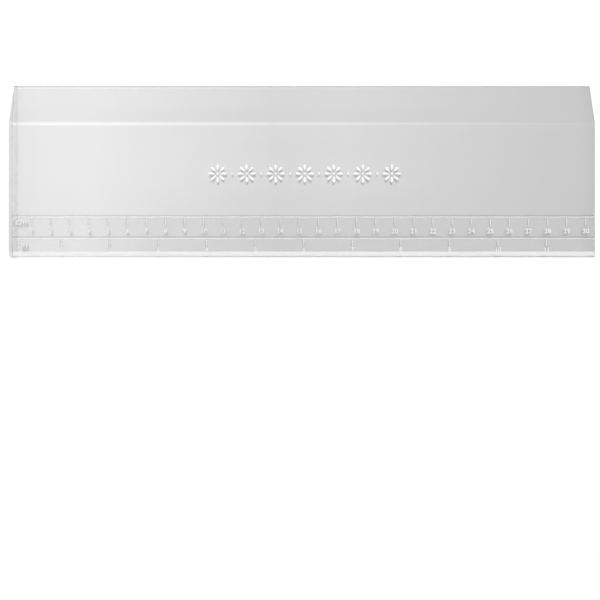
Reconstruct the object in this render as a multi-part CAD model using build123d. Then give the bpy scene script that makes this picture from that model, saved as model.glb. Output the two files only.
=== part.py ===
from build123d import *
import math
import os

# Clear plastic icing smoother: a long flat plate, bent along a rounded fold into a handle flange,
# with a foot across its zero end and centimetre and inch marks on its front face.
# Sizes are in millimetres. X runs along the tool from its zero end, Y from the working edge
# towards the handle, and Z up, out of the front face. The tool lies on its flange's rim and foot.

# Driving sizes
blade_length = 304.8
plate_width = 70.0
flange_width = 27.0
flange_angle = 38.0
wall = 2.0
foot_thickness = 2.0

# Blade details
fold_radius = 4.0
rim_radius = 0.8
bevel_width = 3.9
bevel_round = 8.0
edge_thickness = 0.8
edge_round = 0.25
end_round = 0.3

# Foot details
foot_corner_radius = 1.5
heel_radius = 3.0
foot_round = 0.5

# The two scale lines, moulded as shallow round grooves along the blade
centimetre_line_height = 21.4
inch_line_height = 10.2
groove_width = 1.6
groove_depth = 0.4

# Raised marks, which hang from the scale lines
centimetre_spacing = 10.0
inch_spacing = 25.4
mark_length = 4.0
mark_width = 0.6
mark_relief = 0.3

# Directions in the section plane, with the fold at its origin and the front face at zero height
lean = math.radians(flange_angle)
down_flange = Vector(math.cos(lean), -math.sin(lean))
through_flange = Vector(-math.sin(lean), -math.cos(lean))

# Corners of the section
working_corner = Vector(-plate_width, edge_thickness - wall)
bevel_corner = Vector(bevel_width - plate_width, 0)
fold_corner = Vector(0, 0)
rim_front = down_flange * flange_width
rim_back = rim_front + through_flange * wall
fold_back = Vector(-wall * math.tan(lean / 2), -wall)
working_back = Vector(-plate_width, -wall)

# The round of the rim's back corner touches the table: its centre and its lowest point
rim_centre = rim_back - (down_flange + through_flange) * rim_radius
table_height = rim_centre.Y - rim_radius


def rounded(drawing, corner, radius):
    fillet(drawing.vertices().sort_by_distance(corner)[0], radius)


def blade_section(soft_edge):
    with BuildSketch(Plane.YZ) as section:
        with BuildLine():
            Polyline(
                working_corner,
                bevel_corner,
                fold_corner,
                rim_front,
                rim_back,
                fold_back,
                working_back,
                close=True,
            )
        make_face()
        rounded(section, bevel_corner, bevel_round)
        rounded(section, fold_corner, fold_radius)
        rounded(section, fold_back, fold_radius - wall)
        rounded(section, rim_front, rim_radius)
        rounded(section, rim_back, rim_radius)
        if soft_edge:
            rounded(section, working_corner, edge_round)
            rounded(section, working_back, edge_round)
    return section.sketch


def grooved(section):
    # A circle that crosses the front face leaves a groove of the named width and depth
    radius = (groove_width**2 / 4 + groove_depth**2) / (2 * groove_depth)
    for line_height in (centimetre_line_height, inch_line_height):
        with BuildSketch(Plane.YZ) as groove:
            with Locations((line_height - plate_width, radius - groove_depth)):
                Circle(radius)
        section = section - groove.sketch
    return section


def blade():
    body = extrude(grooved(blade_section(soft_edge=True)), blade_length)
    open_end = body.faces().sort_by(Axis.X)[-1]
    body = fillet(open_end.edges(), end_round)
    return Pos(foot_thickness, 0, 0) * body


def end_foot():
    # The foot has the blade's outline in front and a straight edge on the table behind
    with BuildSketch(Plane.YZ) as web:
        with BuildLine():
            Polyline(
                working_corner,
                (fold_corner + fold_back) / 2,
                rim_centre,
                Vector(rim_centre.X, table_height),
                Vector(-plate_width, table_height),
                close=True,
            )
        make_face()
        rounded(web, Vector(-plate_width, table_height), heel_radius)
    body = extrude(blade_section(soft_edge=False) + web.sketch, foot_thickness)

    # The edges round its outer face are softened
    body = fillet(body.faces().sort_by(Axis.X)[0].edges(), foot_round)

    # Seen from the front, its outer corner beside the working edge is rounded
    with BuildSketch(Plane.XY.offset(table_height)) as plan:
        with Locations((0, -plate_width)):
            Rectangle(foot_thickness, plate_width + rim_front.X, align=Align.MIN)
        rounded(plan, Vector(0, -plate_width), foot_corner_radius)
    return body & extrude(plan.sketch, -table_height)


def marks(line_height, spacing):
    # One bar for each whole unit that fits on the blade, hung from the lower lip of its groove
    top = line_height - plate_width - groove_width / 2
    count = int((blade_length - mark_width) / spacing)
    bars = []
    for number in range(1, count + 1):
        bar = Box(
            mark_width,
            mark_length,
            mark_relief,
            align=(Align.CENTER, Align.MAX, Align.MIN),
        )
        bars.append(Pos(foot_thickness + number * spacing, top, 0) * bar)
    return Compound(children=bars)


pieces = {
    "blade": blade(),
    "end_foot": end_foot(),
    "centimetre_marks": marks(centimetre_line_height, centimetre_spacing),
    "inch_marks": marks(inch_line_height, inch_spacing),
}

# Stand the tool on the table, centred on the origin
outline = Compound(list(pieces.values())).bounding_box()
middle = outline.center()
to_table = Pos(-middle.X, -middle.Y, -outline.min.Z)

os.makedirs("parts", exist_ok=True)
for name, piece in pieces.items():
    export_step(to_table * piece, f"parts/{name}.step")
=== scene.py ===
import math
import bmesh
import bpy
from mathutils import Matrix, Vector


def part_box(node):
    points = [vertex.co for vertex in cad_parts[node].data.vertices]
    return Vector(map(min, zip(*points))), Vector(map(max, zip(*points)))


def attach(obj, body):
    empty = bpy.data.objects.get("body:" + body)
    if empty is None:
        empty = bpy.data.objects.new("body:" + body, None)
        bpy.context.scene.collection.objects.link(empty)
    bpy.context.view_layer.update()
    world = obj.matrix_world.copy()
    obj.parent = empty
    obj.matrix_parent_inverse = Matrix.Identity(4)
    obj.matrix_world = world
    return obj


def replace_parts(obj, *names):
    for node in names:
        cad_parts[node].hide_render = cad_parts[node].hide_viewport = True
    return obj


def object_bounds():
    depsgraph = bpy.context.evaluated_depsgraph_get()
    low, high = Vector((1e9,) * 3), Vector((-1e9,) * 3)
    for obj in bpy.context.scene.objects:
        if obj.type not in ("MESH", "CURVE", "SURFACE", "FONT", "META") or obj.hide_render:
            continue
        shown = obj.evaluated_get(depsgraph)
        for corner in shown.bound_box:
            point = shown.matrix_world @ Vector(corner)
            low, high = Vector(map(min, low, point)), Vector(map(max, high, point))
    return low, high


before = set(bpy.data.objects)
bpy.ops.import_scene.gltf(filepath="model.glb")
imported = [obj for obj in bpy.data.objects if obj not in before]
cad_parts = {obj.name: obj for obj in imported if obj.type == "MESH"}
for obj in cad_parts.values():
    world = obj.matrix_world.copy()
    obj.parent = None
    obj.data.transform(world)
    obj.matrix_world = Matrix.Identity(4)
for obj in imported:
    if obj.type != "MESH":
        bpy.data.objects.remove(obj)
cadLow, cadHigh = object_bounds()
bladeLow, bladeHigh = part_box("blade")
frontFace = bladeHigh.z
workingEdge = bladeLow.y
zeroEnd = bladeLow.x  # the scales start where the blade meets the foot
bpy.context.scene.view_settings.view_transform = "Standard"
print("frame loaded")

photoView = {
    "frameSize": 600,  # side of the photograph, pixels
    "pixelsPerMetre": 1911,  # at the front face
    "edgePixel": 257.3,  # working edge, down from the top
    "middlePixel": 301.85,  # middle of the tool, from the left
    "distance": 0.9,
    "sensor": 36,
    "shiftShare": 0.5,  # share of the framing that the shift does
}

studio = {
    "worldLight": 0.18,  # even light on the object and the floor
    "roomTowards": (0.2, 0.5, 0.84),  # the bright side of the room, for gloss and glass
    "roomRange": (0.1, 0.8),
    "roomLevels": (0.42, 1.0),
    "boxTowards": (-0.25, 0.7, 0.67),  # a soft box that the fold mirrors
    "boxRange": (0.84, 0.99),
    "boxLevels": (0.0, 4.2),
    "floorGrey": 0.8,
    "floorLift": 0.23,  # a glow that whitens the floor for the camera and lights nothing
    "floorSize": 6,
    "floorDrop": 0.0002,
    "farRange": (0.4, 1.4),  # metres out, where the lamps fade and the glow grows to make up for it
    "farLift": 1.0,
}

# Only the front strip shows in gloss and glass, because the others' glare would hide the marks
lamps = {
    "keyLamp": {"place": (0.0, 0.06, 1.4), "size": (0.05, 0.05), "power": 11.5, "shows": False},
    "backPanel": {"place": (0.0, 0.72, 0.98), "size": (2.4, 0.45), "power": 6.5, "shows": False},
    "frontStrip": {"place": (0.0, -0.65, 0.95), "size": (1.8, 0.14), "power": 1.4, "shows": True},
}


def grey(level):
    return (level, level, level, 1)


def newMaterial(name):
    material = bpy.data.materials.new(name)
    material.use_nodes = True
    material.node_tree.nodes.clear()
    return material, material.node_tree.nodes, material.node_tree.links


def feed(links, socket, value):
    # Sets an input to a number or colour, or links another node's output to it
    if isinstance(value, bpy.types.NodeSocket):
        links.new(value, socket)
    else:
        socket.default_value = value


def calculated(nodes, links, operation, first, second):
    node = nodes.new("ShaderNodeMath")
    node.operation = operation
    feed(links, node.inputs[0], first)
    feed(links, node.inputs[1], second)
    return node.outputs[0]


def ranged(nodes, links, value, fromRange, toRange):
    node = nodes.new("ShaderNodeMapRange")
    links.new(value, node.inputs["Value"])
    node.inputs["From Min"].default_value, node.inputs["From Max"].default_value = fromRange
    node.inputs["To Min"].default_value, node.inputs["To Max"].default_value = toRange
    return node.outputs["Result"]


def seenRays(nodes, links):
    # 1 where the camera meets a surface, straight or by gloss and glass, and 0 after a diffuse bounce.
    # The second value is 1 only where it is met straight.
    halfBounce = 0.5  # between no diffuse bounce and one
    path = nodes.new("ShaderNodeLightPath").outputs
    bounced = calculated(nodes, links, "MAXIMUM", path["Is Glossy Ray"], path["Is Transmission Ray"])
    seen = calculated(nodes, links, "MAXIMUM", bounced, path["Is Camera Ray"])
    early = calculated(nodes, links, "LESS_THAN", path["Diffuse Depth"], halfBounce)
    return calculated(nodes, links, "MULTIPLY", seen, early), path["Is Camera Ray"]


def makeCamera():
    view = photoView
    across = (view["frameSize"] / 2 - view["middlePixel"]) / view["pixelsPerMetre"]
    belowEdge = (view["frameSize"] / 2 - view["edgePixel"]) / view["pixelsPerMetre"]
    frameMiddle = workingEdge - belowEdge
    shifted = frameMiddle * view["shiftShare"]
    frameWidth = view["frameSize"] / view["pixelsPerMetre"]
    data = bpy.data.cameras.new("photoCamera")
    data.sensor_width = view["sensor"]
    data.lens = view["sensor"] * view["distance"] / frameWidth
    data.shift_y = shifted / frameWidth
    camera = bpy.data.objects.new("photoCamera", data)
    camera.location = (across, frameMiddle - shifted, frontFace + view["distance"])
    bpy.context.scene.collection.objects.link(camera)
    bpy.context.scene.camera = camera


def makeLamp(name, lamp):
    data = bpy.data.lights.new(name, "AREA")
    data.shape = "RECTANGLE"
    data.size, data.size_y = lamp["size"]
    data.energy = lamp["power"]
    light = bpy.data.objects.new(name, data)
    light.location = lamp["place"]
    light.rotation_euler = (-light.location).to_track_quat("-Z", "Y").to_euler()
    light.visible_glossy = lamp["shows"]
    light.visible_transmission = lamp["shows"]
    bpy.context.scene.collection.objects.link(light)


def makeRoom():
    # White for the camera, pale to dark by direction for gloss and glass, and even light for the rest
    world = bpy.data.worlds.new("paleRoom")
    world.use_nodes = True
    nodes, links = world.node_tree.nodes, world.node_tree.links
    place = nodes.new("ShaderNodeTexCoord").outputs["Generated"]

    def glowOf(part):
        towards = nodes.new("ShaderNodeVectorMath")
        towards.operation = "DOT_PRODUCT"
        towards.inputs[1].default_value = studio[part + "Towards"]
        links.new(place, towards.inputs[0])
        reach, levels = studio[part + "Range"], studio[part + "Levels"]
        return ranged(nodes, links, towards.outputs["Value"], reach, levels)

    mirrored = calculated(nodes, links, "MAXIMUM", glowOf("room"), glowOf("box"))
    seen, straight = seenRays(nodes, links)
    look = nodes.new("ShaderNodeMix")
    feed(links, look.inputs["Factor"], straight)
    feed(links, look.inputs["A"], mirrored)
    feed(links, look.inputs["B"], 1.0)  # white
    strength = nodes.new("ShaderNodeMix")
    feed(links, strength.inputs["Factor"], seen)
    feed(links, strength.inputs["A"], studio["worldLight"])
    feed(links, strength.inputs["B"], look.outputs["Result"])
    background = nodes["Background"]
    background.inputs["Color"].default_value = grey(1)
    links.new(strength.outputs["Result"], background.inputs["Strength"])
    bpy.context.scene.world = world


def makeFloor():
    half = studio["floorSize"] / 2
    drop = -studio["floorDrop"]
    corners = [(-half, -half, drop), (half, -half, drop), (half, half, drop), (-half, half, drop)]
    mesh = bpy.data.meshes.new("paleFloor")
    mesh.from_pydata(corners, [], [(0, 1, 2, 3)])
    floor = bpy.data.objects.new("paleFloor", mesh)
    bpy.context.scene.collection.objects.link(floor)
    material, nodes, links = newMaterial("paleFloor")
    paper = nodes.new("ShaderNodeBsdfDiffuse")
    paper.inputs["Color"].default_value = grey(studio["floorGrey"])
    glow = nodes.new("ShaderNodeEmission")
    away = nodes.new("ShaderNodeVectorMath")
    away.operation = "LENGTH"
    links.new(nodes.new("ShaderNodeTexCoord").outputs["Object"], away.inputs[0])
    levels = (studio["floorLift"], studio["farLift"])
    lift = ranged(nodes, links, away.outputs["Value"], studio["farRange"], levels)
    seen = seenRays(nodes, links)[0]
    feed(links, glow.inputs["Strength"], calculated(nodes, links, "MULTIPLY", seen, lift))
    both = nodes.new("ShaderNodeAddShader")
    links.new(paper.outputs[0], both.inputs[0])
    links.new(glow.outputs[0], both.inputs[1])
    output = nodes.new("ShaderNodeOutputMaterial")
    links.new(both.outputs[0], output.inputs["Surface"])
    mesh.materials.append(material)


makeCamera()
for name, lamp in lamps.items():
    makeLamp(name, lamp)
makeRoom()
makeFloor()
print("camera and studio ready")

wear = {
    "smudgeScale": 35,
    "smudgeDetail": 2,
    "scratchScale": 900,
    "scratchDetail": 0,
    "scratchStretch": (0.06, 1, 1),  # scratches run along the tool, as it is dragged and wiped
    "scratchRange": (0.66, 0.74),
}


def wearGroup():
    # Smudges and fine scratches, shared by the plastic, the marks and the print
    group = bpy.data.node_groups.new("handlingWear", "ShaderNodeTree")
    socket = group.interface.new_socket
    socket("Place", in_out="INPUT", socket_type="NodeSocketVector")
    socket("Smudge Amount", in_out="INPUT", socket_type="NodeSocketFloat")
    socket("Scratch Amount", in_out="INPUT", socket_type="NodeSocketFloat")
    socket("Wear", in_out="OUTPUT", socket_type="NodeSocketFloat")
    nodes, links = group.nodes, group.links
    given = nodes.new("NodeGroupInput").outputs
    smudge = nodes.new("ShaderNodeTexNoise")
    smudge.inputs["Scale"].default_value = wear["smudgeScale"]
    smudge.inputs["Detail"].default_value = wear["smudgeDetail"]
    links.new(given["Place"], smudge.inputs["Vector"])
    stretch = nodes.new("ShaderNodeVectorMath")
    stretch.operation = "MULTIPLY"
    stretch.inputs[1].default_value = wear["scratchStretch"]
    links.new(given["Place"], stretch.inputs[0])
    scratch = nodes.new("ShaderNodeTexNoise")
    scratch.inputs["Scale"].default_value = wear["scratchScale"]
    scratch.inputs["Detail"].default_value = wear["scratchDetail"]
    links.new(stretch.outputs[0], scratch.inputs["Vector"])
    lines = ranged(nodes, links, scratch.outputs["Fac"], wear["scratchRange"], (0, 1))
    smudged = calculated(nodes, links, "MULTIPLY", smudge.outputs["Fac"], given["Smudge Amount"])
    scratched = calculated(nodes, links, "MULTIPLY", lines, given["Scratch Amount"])
    total = calculated(nodes, links, "ADD", smudged, scratched)
    links.new(total, nodes.new("NodeGroupOutput").inputs["Wear"])
    return group


handlingWear = wearGroup()


def wornBy(nodes, links, place, smudge, scratch):
    worn = nodes.new("ShaderNodeGroup")
    worn.node_tree = handlingWear
    links.new(place, worn.inputs["Place"])
    worn.inputs["Smudge Amount"].default_value = smudge
    worn.inputs["Scratch Amount"].default_value = scratch
    return worn.outputs["Wear"]


plastic = {
    "tintAndShadeAlong": (  # shares of the length from the zero end, with the plate's grey tint there and painted shade that darkens it towards the open end
        (0.0, 0.81),
        (0.14, 0.805),
        (0.28, 0.742),
        (0.45, 0.668),
        (0.58, 0.674),
        (0.72, 0.628),
        (0.92, 0.572),
        (0.975, 0.563),
        (1.0, 0.51),
    ),
    "paintedShadeAcross": (  # shares of the width from the working edge, with painted shade that deepens the plate over the scale strip and just above the fold
        (0.0, 0.885),
        (0.23, 0.885),
        (0.235, 0.965),
        (0.5, 1.0),
        (0.765, 1.0),
        (0.785, 0.965),
        (0.84, 0.97),
        (0.88, 1.0),
    ),
    # how much of that painted shade shows, along the tool
    "paintedShadeShare": ((0.0, 0.45), (0.12, 0.45), (0.24, 1.0), (0.6, 1.0), (0.9, 0.1)),
    "footTintAndShade": ((0.0, 0.97), (0.0058, 0.97), (0.0063, 0.9)),  # the foot's grey tint, with painted shade on its inner face
    "roughness": 0.015,
    "smudge": 0.03,
    "scratch": 0.03,
    "indexOfRefraction": 1.49,
    "lampTint": 0.97,
    "footLampTint": 0.79,  # light comes down through the foot's whole depth
    "waveScale": 22,
    "waveDetail": 1,
    "waveStrength": 0.02,
    "waveHeight": 0.001,
}


def ramped(nodes, links, value, stops):
    # A grey that changes with the value, from stop to stop
    ramp = nodes.new("ShaderNodeValToRGB")
    links.new(value, ramp.inputs["Fac"])
    elements = ramp.color_ramp.elements
    elements.remove(elements[1])
    for place, level in stops:
        element = elements[0] if place == 0 else elements.new(place)
        element.position = place
        element.color = grey(level)
    return ramp.outputs["Color"]


def openToLamps(nodes, links, surface, tint):
    # Lets the light of the lamps and the room through to the floor, tinted
    opened = nodes.new("ShaderNodeBsdfTransparent")
    opened.inputs["Color"].default_value = grey(tint)
    path = nodes.new("ShaderNodeLightPath").outputs
    lighting = calculated(nodes, links, "MAXIMUM", path["Is Shadow Ray"], path["Is Diffuse Ray"])
    both = nodes.new("ShaderNodeMixShader")
    links.new(lighting, both.inputs[0])
    links.new(surface.outputs[0], both.inputs[1])
    links.new(opened.outputs[0], both.inputs[2])
    links.new(both.outputs[0], nodes.new("ShaderNodeOutputMaterial").inputs["Surface"])


def clearPlastic(name, tintAndShadeAlong, lampTint):
    material, nodes, links = newMaterial(name)
    place = nodes.new("ShaderNodeTexCoord").outputs["Object"]
    split = nodes.new("ShaderNodeSeparateXYZ")
    links.new(place, split.inputs[0])
    along = ranged(nodes, links, split.outputs["X"], (cadLow.x, cadHigh.x), (0, 1))
    across = ranged(nodes, links, split.outputs["Y"], (cadLow.y, cadHigh.y), (0, 1))
    # The plate's grey tint, times painted shade that darkens it along and across the tool
    tint = nodes.new("ShaderNodeMix")
    tint.data_type = "RGBA"
    tint.blend_type = "MULTIPLY"
    links.new(ramped(nodes, links, along, plastic["paintedShadeShare"]), tint.inputs["Factor"])
    links.new(ramped(nodes, links, along, tintAndShadeAlong), tint.inputs["A"])
    links.new(ramped(nodes, links, across, plastic["paintedShadeAcross"]), tint.inputs["B"])
    wave = nodes.new("ShaderNodeTexNoise")
    wave.inputs["Scale"].default_value = plastic["waveScale"]
    wave.inputs["Detail"].default_value = plastic["waveDetail"]
    links.new(place, wave.inputs["Vector"])
    bump = nodes.new("ShaderNodeBump")
    bump.inputs["Strength"].default_value = plastic["waveStrength"]
    bump.inputs["Distance"].default_value = plastic["waveHeight"]
    links.new(wave.outputs["Fac"], bump.inputs["Height"])
    worn = wornBy(nodes, links, place, plastic["smudge"], plastic["scratch"])
    surface = nodes.new("ShaderNodeBsdfPrincipled")
    surface.inputs["IOR"].default_value = plastic["indexOfRefraction"]
    surface.inputs["Transmission Weight"].default_value = 1
    links.new(tint.outputs["Result"], surface.inputs["Base Color"])
    links.new(calculated(nodes, links, "ADD", worn, plastic["roughness"]), surface.inputs["Roughness"])
    links.new(bump.outputs["Normal"], surface.inputs["Normal"])
    openToLamps(nodes, links, surface, lampTint)
    return material


# Fine grain: how fine, how strong and how deep
frosting = {"scale": 2500, "strength": 0.2, "depth": 0.0001}
inkGrain = {"scale": 1800, "strength": 0.1, "depth": 0.00005}

# What the frosted finishes and painted highlights, the painted shade and the print each share
frostAndHighlight = {"grain": frosting, "wornGrey": 0.8, "roughness": 0.35, "smudge": 0.1, "scratch": 0.2}
shading = {"grain": frosting, "wornGrey": 0.8, "roughness": 0.4, "smudge": 0.05, "scratch": 0.1}
printed = {"grain": inkGrain, "wornGrey": 0.82, "roughness": 0.5, "smudge": 0.05, "scratch": 0.1}

# The lamps' light comes through a finish that has a lamp tint, so that it hardly shades the floor
finishes = {
    "frostedRelief": {**frostAndHighlight, "grey": 0.96, "alpha": 0.75},
    "frostedRib": {**frostAndHighlight, "grey": 0.96, "alpha": 0.6, "lampTint": 0.88},
    # Pale see-through strips that paint highlights on the scale lines, the rim and the bevel
    "paintedHighlight": {**frostAndHighlight, "grey": 0.9, "alpha": 0.24, "lampTint": 0.98},
    "paintedBevelHighlight": {**frostAndHighlight, "grey": 0.97, "alpha": 0.5, "lampTint": 0.98},
    # Dark see-through strips of painted shade beside the scale lines, the working edge, the ribs and
    # the figures
    "lineShade": {**shading, "grey": 0.1, "alpha": 0.12, "lampTint": 0.98},
    "flankShade": {**shading, "grey": 0.1, "alpha": 0.11, "lampTint": 0.98},
    "whitePrint": {**printed, "grey": 0.93, "alpha": 1},
}


def solidFinish(name, finish):
    # A finish for the marks and the print: an even colour, worn and finely grained
    material, nodes, links = newMaterial(name)
    grain = finish["grain"]
    place = nodes.new("ShaderNodeTexCoord").outputs["Object"]
    worn = wornBy(nodes, links, place, finish["smudge"], finish["scratch"])
    speck = nodes.new("ShaderNodeTexNoise")
    speck.inputs["Scale"].default_value = grain["scale"]
    links.new(place, speck.inputs["Vector"])
    shade = nodes.new("ShaderNodeMix")
    shade.data_type = "RGBA"
    links.new(worn, shade.inputs["Factor"])
    shade.inputs["A"].default_value = grey(finish["grey"])
    shade.inputs["B"].default_value = grey(finish["wornGrey"])
    bump = nodes.new("ShaderNodeBump")
    bump.inputs["Strength"].default_value = grain["strength"]
    bump.inputs["Distance"].default_value = grain["depth"]
    links.new(speck.outputs["Fac"], bump.inputs["Height"])
    rough = calculated(nodes, links, "ADD", worn, finish["roughness"])
    surface = nodes.new("ShaderNodeBsdfPrincipled")
    surface.inputs["Alpha"].default_value = finish["alpha"]
    links.new(shade.outputs["Result"], surface.inputs["Base Color"])
    links.new(rough, surface.inputs["Roughness"])
    links.new(bump.outputs["Normal"], surface.inputs["Normal"])
    if "lampTint" in finish:
        openToLamps(nodes, links, surface, finish["lampTint"])
    else:
        links.new(surface.outputs[0], nodes.new("ShaderNodeOutputMaterial").inputs["Surface"])
    return material


clearBlade = clearPlastic("clearBlade", plastic["tintAndShadeAlong"], plastic["lampTint"])
clearFoot = clearPlastic("clearFoot", plastic["footTintAndShade"], plastic["footLampTint"])
coats = {name: solidFinish(name, finish) for name, finish in finishes.items()}
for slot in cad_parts["blade"].material_slots:
    slot.link = "OBJECT"
    slot.material = clearBlade
print("finishes ready")


def newPiece(name, mesh):
    piece = bpy.data.objects.new(name, mesh)
    bpy.context.scene.collection.objects.link(piece)
    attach(piece, "root")
    return piece


dressedFoot = {
    "gap": 0.00002,  # keeps the foot's clear face off the blade's, which would trap light between them
    "mergeDistance": 0.000001,
}


def makeFoot():
    # The CAD foot, merged, with its inner face drawn back by the gap. It is shaded flat, because
    # smoothed normals would tilt its flat faces and draw dark lines through the clear plastic.
    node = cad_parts["end_foot"]
    mesh = node.data.copy()
    mesh.transform(node.matrix_world)
    foot = bmesh.new()
    foot.from_mesh(mesh)
    bmesh.ops.remove_doubles(foot, verts=foot.verts, dist=dressedFoot["mergeDistance"])
    for vertex in foot.verts:
        if vertex.co.x > zeroEnd - dressedFoot["gap"]:
            vertex.co.x -= dressedFoot["gap"]
    bmesh.ops.recalc_face_normals(foot, faces=foot.faces)
    foot.to_mesh(mesh)
    foot.free()
    mesh.materials.clear()
    mesh.materials.append(clearFoot)
    mesh.shade_flat()
    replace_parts(newPiece("clearFoot", mesh), "end_foot")


makeFoot()
print("foot ready")


def startTree(name, inputs):
    # A Geometry Nodes tree with its first input and its output geometry, and named sizes between
    tree = bpy.data.node_groups.new(name, "GeometryNodeTree")
    for label, kind in inputs:
        tree.interface.new_socket(label, in_out="INPUT", socket_type="NodeSocket" + kind)
    tree.interface.new_socket("Result", in_out="OUTPUT", socket_type="NodeSocketGeometry")
    return tree, tree.nodes, tree.links, tree.nodes.new("NodeGroupInput").outputs


def endTree(nodes, links, shape, finish):
    plain = nodes.new("GeometryNodeRealizeInstances")
    links.new(shape, plain.inputs["Geometry"])
    dressed = nodes.new("GeometryNodeSetMaterial")
    links.new(plain.outputs["Geometry"], dressed.inputs["Geometry"])
    links.new(finish, dressed.inputs["Material"])
    links.new(dressed.outputs["Geometry"], nodes.new("NodeGroupOutput").inputs["Result"])


def rowOf(nodes, links, given, shape):
    line = nodes.new("GeometryNodeMeshLine")
    line.mode = "OFFSET"
    links.new(given["Count"], line.inputs["Count"])
    links.new(given["Start"], line.inputs["Start Location"])
    links.new(given["Step"], line.inputs["Offset"])
    placed = nodes.new("GeometryNodeInstanceOnPoints")
    links.new(line.outputs["Mesh"], placed.inputs["Points"])
    links.new(shape, placed.inputs["Instance"])
    return placed.outputs["Instances"]


def rowTree():
    sizes = [("Shape", "Geometry"), ("Count", "Int"), ("Start", "Vector"), ("Step", "Vector")]
    tree, nodes, links, given = startTree("straightRow", sizes + [("Finish", "Material")])
    endTree(nodes, links, rowOf(nodes, links, given, given["Shape"]), given["Finish"])
    return tree


def rosetteTree():
    sizes = [("Petal", "Geometry"), ("Petals", "Int"), ("Heart", "Float"), ("Count", "Int")]
    sizes += [("Start", "Vector"), ("Step", "Vector"), ("Finish", "Material")]
    tree, nodes, links, given = startTree("rosetteRow", sizes)
    ring = nodes.new("GeometryNodeMeshCircle")
    links.new(given["Petals"], ring.inputs["Vertices"])
    links.new(given["Heart"], ring.inputs["Radius"])
    share = calculated(nodes, links, "DIVIDE", math.tau, given["Petals"])
    index = nodes.new("GeometryNodeInputIndex").outputs[0]
    upright = nodes.new("ShaderNodeCombineXYZ")
    links.new(calculated(nodes, links, "MULTIPLY", index, share), upright.inputs["Z"])
    spun = nodes.new("FunctionNodeEulerToRotation")
    links.new(upright.outputs[0], spun.inputs[0])
    placed = nodes.new("GeometryNodeInstanceOnPoints")
    links.new(ring.outputs["Mesh"], placed.inputs["Points"])
    links.new(given["Petal"], placed.inputs["Instance"])
    links.new(spun.outputs[0], placed.inputs["Rotation"])
    endTree(nodes, links, rowOf(nodes, links, given, placed.outputs["Instances"]), given["Finish"])
    return tree


def grown(name, shape, tree, values):
    # Runs the tree on a shape and gives the plain mesh that it makes
    holder = bpy.data.objects.new(name, shape)
    bpy.context.scene.collection.objects.link(holder)
    modifier = holder.modifiers.new("grow", "NODES")
    modifier.node_group = tree
    for item in tree.interface.items_tree:
        if item.in_out == "INPUT" and item.name in values:
            modifier[item.identifier] = values[item.name]
    ready = holder.evaluated_get(bpy.context.evaluated_depsgraph_get())
    mesh = bpy.data.meshes.new_from_object(ready)
    bpy.data.objects.remove(holder)
    mesh.name = name
    return mesh


straightRow = rowTree()
rosetteRow = rosetteTree()

rib = {"sides": 8, "capSteps": 3, "sharpAngle": 50}


def ribShape(width, length, relief):
    # A half-round bar along Y with rounded ends, hung from its upper end at the origin
    half = width / 2
    swings = [math.pi / 2 * step / rib["capSteps"] for step in range(1, rib["capSteps"] + 1)]
    cap = [(half - math.cos(swing) * half, math.sin(swing)) for swing in swings]
    stations = [(-inset, share) for inset, share in cap]
    stations += [(inset - length, share) for inset, share in reversed(cap)]
    bar = bmesh.new()
    rings = []
    for place, share in stations:
        ring = []
        for side in range(rib["sides"] + 1):
            angle = math.pi * side / rib["sides"]
            across = math.cos(angle) * half * share
            ring.append(bar.verts.new((across, place, math.sin(angle) * relief * share)))
        rings.append(ring)
    for one, other in zip(rings, rings[1:]):
        for side in range(rib["sides"]):
            bar.faces.new((one[side], one[side + 1], other[side + 1], other[side]))
    bar.faces.new(rings[0])
    bar.faces.new(rings[-1])
    bar.faces.new([ring[0] for ring in rings] + [ring[-1] for ring in reversed(rings)])
    bmesh.ops.recalc_face_normals(bar, faces=bar.faces)
    mesh = bpy.data.meshes.new("rib")
    bar.to_mesh(mesh)
    bar.free()
    mesh.shade_smooth()
    mesh.set_sharp_from_angle(angle=math.radians(rib["sharpAngle"]))
    return mesh


flank = {
    "spread": 0.00025,  # how far the painted shade beside a raised mark reaches past it
    "shift": (-0.00012, 0.00012),  # the painted shade lies towards the zero end and the handle
    "relief": 0.00005,
    "figureRoundings": 2.2,  # thickness of a figure's flank, in roundings of its edge
}


def makeRibs(name, node, spacing):
    low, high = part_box(node)
    width = 2 * (zeroEnd + spacing - low.x)
    shape = ribShape(width, high.y - low.y, high.z - frontFace)
    count = int((bladeHigh.x - zeroEnd - width) / spacing)
    start = (zeroEnd + spacing, high.y, frontFace)
    values = {"Count": count, "Start": start, "Step": (spacing, 0, 0), "Finish": coats["frostedRib"]}
    ribs = newPiece(name, grown(name, shape, straightRow, values))
    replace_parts(ribs, node)

    # A strip of painted shade beside each rib, towards the zero end and the handle
    spread = flank["spread"]
    shape = ribShape(width + 2 * spread, high.y - low.y + spread, flank["relief"])
    values["Start"] = (start[0] + flank["shift"][0], high.y, frontFace)
    values["Finish"] = coats["flankShade"]
    newPiece(name + "Flanks", grown(name + "Flanks", shape, straightRow, values))
    return count


scales = {
    "centimetre": {
        "spacing": 0.01,
        "height": 0.0025,  # of its figures
        "foot": 0.0126,  # from the working edge up to the feet of the figures
        "unit": "cm",
        "unitPlace": (0.0045, 0.0172),  # middle and feet of the unit's letters
    },
    "inch": {
        "spacing": 0.0254,
        "height": 0.0023,
        "foot": 0.003,
        "unit": "in",
        "unitPlace": (0.006, 0.0055),
    },
}

counts = {}
for name, scale in scales.items():
    counts[name] = makeRibs(name + "Ribs", name + "_marks", scale["spacing"])
print("ribs ready:", counts)

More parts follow.
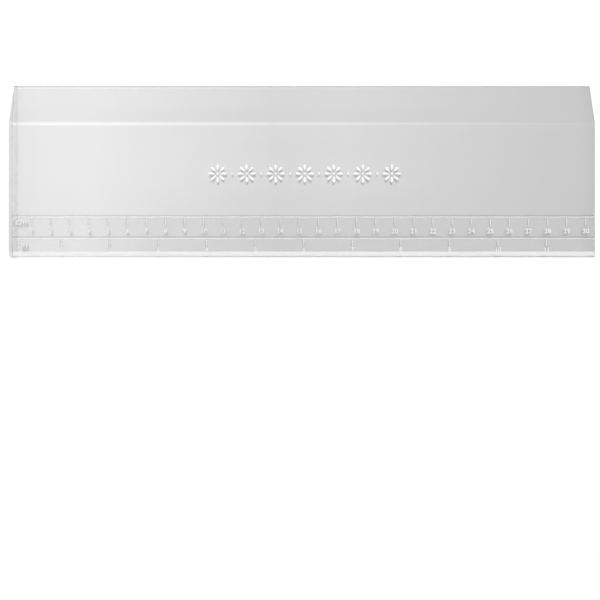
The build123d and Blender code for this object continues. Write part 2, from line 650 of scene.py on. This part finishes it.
figures = {
    "relief": 0.00025,
    "rounding": 0.00005,
    "roundSteps": 1,  # in that rounding
    "curveSteps": 3,  # in each piece of a figure's curves
    "sharpAngle": 40,
    "figureShare": 0.7,  # height of a figure as a share of the font size
    "boldness": 0.00007,
    "unitHeight": 0.0034,
    "bevelWidth": 0.0039,
    "bevelFall": 0.0012,
    "bevelRound": 0.008,
    "bevelCuts": (0.0051, 0.0045, 0.0039, 0.0033, 0.0027),  # where figures are cut to follow it
}


def faceDrop(y):
    # How far the front face falls away where it is bevelled, softly, to the working edge
    width, fall, radius = figures["bevelWidth"], figures["bevelFall"], figures["bevelRound"]
    lean = math.atan2(fall, width)
    reach = radius * math.tan(lean / 2)
    inside = workingEdge + width + reach - y
    if inside <= 0:
        return 0
    if inside < radius * math.sin(lean):
        return radius - math.sqrt(radius**2 - inside**2)
    return (inside - reach) * fall / width


def letterMesh(text, height, middle, foot, boldness, relief):
    # Raised figures, standing on the front face and following its bevel
    letters = bpy.data.curves.new("letters", "FONT")
    letters.body = text
    letters.align_x = "CENTER"
    letters.size = height / figures["figureShare"]
    letters.offset = boldness
    letters.extrude = relief / 2 - figures["rounding"]
    letters.bevel_depth = figures["rounding"]
    letters.bevel_resolution = figures["roundSteps"]
    letters.resolution_u = figures["curveSteps"]
    holder = bpy.data.objects.new("letters", letters)
    bpy.context.scene.collection.objects.link(holder)
    ready = holder.evaluated_get(bpy.context.evaluated_depsgraph_get())
    mesh = bpy.data.meshes.new_from_object(ready)
    bpy.data.objects.remove(holder)
    mesh.transform(Matrix.Translation((middle, foot, frontFace + relief / 2)))
    return mesh


def lettering(name, words, shift, boldness, relief, finish):
    whole = bmesh.new()
    for text, height, middle, foot in words:
        whole.from_mesh(letterMesh(text, height, middle + shift[0], foot + shift[1], boldness, relief))
    for cut in figures["bevelCuts"]:
        everything = whole.verts[:] + whole.edges[:] + whole.faces[:]
        at = Vector((0, workingEdge + cut, 0))
        bmesh.ops.bisect_plane(whole, geom=everything, plane_co=at, plane_no=(0, 1, 0))
    for vertex in whole.verts:
        vertex.co.z -= faceDrop(vertex.co.y)
    mesh = bpy.data.meshes.new(name)
    whole.to_mesh(mesh)
    whole.free()
    mesh.materials.append(finish)
    mesh.shade_smooth()
    mesh.set_sharp_from_angle(angle=math.radians(figures["sharpAngle"]))
    newPiece(name, mesh)


def makeFigures(name, count, scale):
    # Raised figures at the whole units, their flanks of painted shade, and the unit's letters near the
    # zero end
    middle, unitFoot = scale["unitPlace"]
    words = [(scale["unit"], figures["unitHeight"], zeroEnd + middle, workingEdge + unitFoot)]
    for number in range(1, count + 1):
        place = zeroEnd + number * scale["spacing"]
        words.append((str(number), scale["height"], place, workingEdge + scale["foot"]))
    bold = figures["boldness"]
    lettering(name, words, (0, 0), bold, figures["relief"], coats["frostedRelief"])
    spread = bold + flank["spread"] / 2
    thickness = flank["figureRoundings"] * figures["rounding"]
    lettering(name + "Flanks", words, flank["shift"], spread, thickness, coats["flankShade"])


for name, scale in scales.items():
    makeFigures(name + "Figures", counts[name], scale)
print("figures ready")

trim = {
    "lineWidth": 0.0016,
    "lineDepth": 0.0004,
    "steps": 4,
    "endGap": 0.0003,
    "lift": 0.00001,
    "thickness": 0.00002,
    "lit": (-0.85, -0.2),  # the part of a scale line's half width that carries a painted highlight
    # the part of it that carries painted shade
    "shaded": (0.15, 0.95),
    "bevelLit": (0.0008, 0.003),  # painted highlight strip on the bevel, from the working edge
    # painted shade strip on the bevel, just above the working edge
    "bevelShaded": (0.0003, 0.0006),
    "rimRadius": 0.0008,
    "rimHeight": 0.00112,  # of the middle of the rim's front round
    "rimLit": (52, 8),  # the part of that round that carries a painted highlight, degrees from level
}


def lineFloor(middle, share):
    # A point on the floor of a scale line, at a share of its half width from its middle
    half, depth = trim["lineWidth"] / 2, trim["lineDepth"]
    radius = (half**2 + depth**2) / (2 * depth)
    across = half * share
    return middle + across, frontFace - depth + radius - math.sqrt(radius**2 - across**2)


def spaced(maker, first, last):
    return [maker(first + (last - first) * step / trim["steps"]) for step in range(trim["steps"] + 1)]


def makeTrim(name, runs, finish):
    # Thin strips along the blade, each over a run of points across it
    strips = bmesh.new()
    for run in runs:
        low = [(y, z + trim["lift"]) for y, z in run]
        high = [(y, z + trim["thickness"]) for y, z in low]
        ring = low + high[::-1]
        ends = [
            [strips.verts.new((x, y, z)) for y, z in ring]
            for x in (zeroEnd + trim["endGap"], bladeHigh.x - trim["endGap"])
        ]
        for one in range(len(ring)):
            other = (one + 1) % len(ring)
            strips.faces.new((ends[0][one], ends[0][other], ends[1][other], ends[1][one]))
        strips.faces.new(ends[0])
        strips.faces.new(ends[1][::-1])
    bmesh.ops.recalc_face_normals(strips, faces=strips.faces)
    mesh = bpy.data.meshes.new(name)
    strips.to_mesh(mesh)
    strips.free()
    mesh.materials.append(finish)
    newPiece(name, mesh)


def lineRuns(part):
    # That part of both scale lines, each of which lies just above its marks
    tops = [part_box(name + "_marks")[1].y for name in scales]
    middles = [top + trim["lineWidth"] / 2 for top in tops]
    return [spaced(lambda share: lineFloor(middle, share), *trim[part]) for middle in middles]


def bevelFace(inside):
    # A point on the bevel, at a distance in from the working edge
    return workingEdge + inside, frontFace - faceDrop(workingEdge + inside)


def rimFace(degrees):
    # A point on the round of the rim's front edge
    angle, radius = math.radians(degrees), trim["rimRadius"]
    out = radius * math.cos(angle) - radius - 2 * trim["thickness"]
    return cadHigh.y + out, trim["rimHeight"] + radius * math.sin(angle)


# Pale strips paint highlights on the scale lines, the bevel and the rim; dark strips paint shade
# beside the lines and along the working edge
makeTrim("lineHighlights", lineRuns("lit"), coats["paintedHighlight"])
makeTrim("lineFlanks", lineRuns("shaded"), coats["lineShade"])
makeTrim("bevelHighlight", [spaced(bevelFace, *trim["bevelLit"])], coats["paintedBevelHighlight"])
makeTrim("bevelFlank", [spaced(bevelFace, *trim["bevelShaded"])], coats["lineShade"])
makeTrim("rimHighlight", [spaced(rimFace, *trim["rimLit"])], coats["paintedHighlight"])
print("trims ready")

band = {
    "middle": (0.0015, -0.0016),  # of the printed band, on the front face
    "rosettes": 7,
    "pitch": 0.0152,
    "petals": 8,
    "petalLength": 0.0034,
    "petalWidth": 0.0017,
    "petalHeart": 0.0014,  # from a rosette's middle to the root of its petals
    "dotRadius": 0.00055,
    "thickness": 0.00008,
    "topShare": 0.85,  # size of a drop's top as a share of its foot
    "sides": 14,
}


def dropShape(name, length, width, pointed):
    # A low drop with sloping sides, pointed at its root or round all over
    ring = []
    for side in range(band["sides"]):
        angle = math.tau * side / band["sides"]
        along = (1 - math.cos(angle)) / 2
        narrow = math.sqrt(along) if pointed else 1
        ring.append((along * length, math.sin(angle) * width / 2 * narrow))
    middle, top = length / 2, band["topShare"]
    inner = [(middle + (x - middle) * top, y * top) for x, y in ring]
    drop = bmesh.new()
    low = [drop.verts.new((x, y, 0)) for x, y in ring]
    high = [drop.verts.new((x, y, band["thickness"])) for x, y in inner]
    for side in range(band["sides"]):
        beside = (side + 1) % band["sides"]
        drop.faces.new((low[side], low[beside], high[beside], high[side]))
    drop.faces.new(high)
    drop.faces.new(low[::-1])
    bmesh.ops.recalc_face_normals(drop, faces=drop.faces)
    mesh = bpy.data.meshes.new(name)
    drop.to_mesh(mesh)
    drop.free()
    return mesh


def makeBand():
    across, up = band["middle"]
    first = across - band["pitch"] * (band["rosettes"] - 1) / 2
    step = (band["pitch"], 0, 0)
    petal = dropShape("petal", band["petalLength"], band["petalWidth"], True)
    values = {"Petals": band["petals"], "Heart": band["petalHeart"], "Count": band["rosettes"]}
    values.update({"Start": (first, up, frontFace), "Step": step, "Finish": coats["whitePrint"]})
    newPiece("printedRosettes", grown("printedRosettes", petal, rosetteRow, values))

    # A dot at each rosette's heart and one between each two rosettes
    radius = band["dotRadius"]
    dot = dropShape("dot", 2 * radius, 2 * radius, False)
    step = (band["pitch"] / 2, 0, 0)
    values = {"Count": 2 * band["rosettes"] - 1, "Start": (first - radius, up, frontFace)}
    values.update({"Step": step, "Finish": coats["whitePrint"]})
    newPiece("printedDots", grown("printedDots", dot, straightRow, values))


makeBand()
print("printed band ready")
